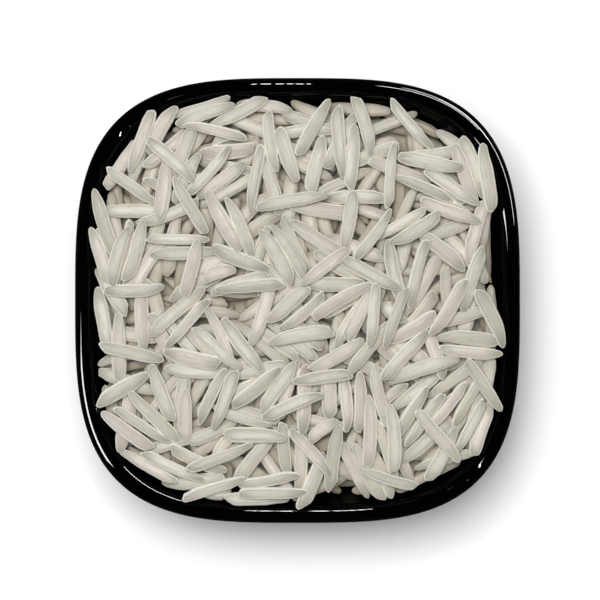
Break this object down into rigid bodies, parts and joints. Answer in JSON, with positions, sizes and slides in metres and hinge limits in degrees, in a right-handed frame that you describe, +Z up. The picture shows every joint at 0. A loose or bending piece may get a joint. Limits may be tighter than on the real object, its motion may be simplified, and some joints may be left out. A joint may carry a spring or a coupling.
{
  "type": "square dish of raw long-grain rice",
  "caption": "Small rounded-square glossy black dish on a low foot ring, filled to the brim with a loose heap of raw white long-grain rice.",
  "frame": {"origin": "centre of the dish on the surface that its foot ring stands on", "axes": "+Z up out of the dish; X and Y across its flat sides, with +Y towards the top of the picture"},
  "size_m": [0.057, 0.057, 0.0214],
  "materials": {
    "dish": "smooth black glaze, high gloss",
    "rice": "raw white rice, slightly translucent with a soft satin sheen"
  },
  "bodies": {
    "root": {"dish": "dish", "rice": "rice"}
  },
  "joints": []
}
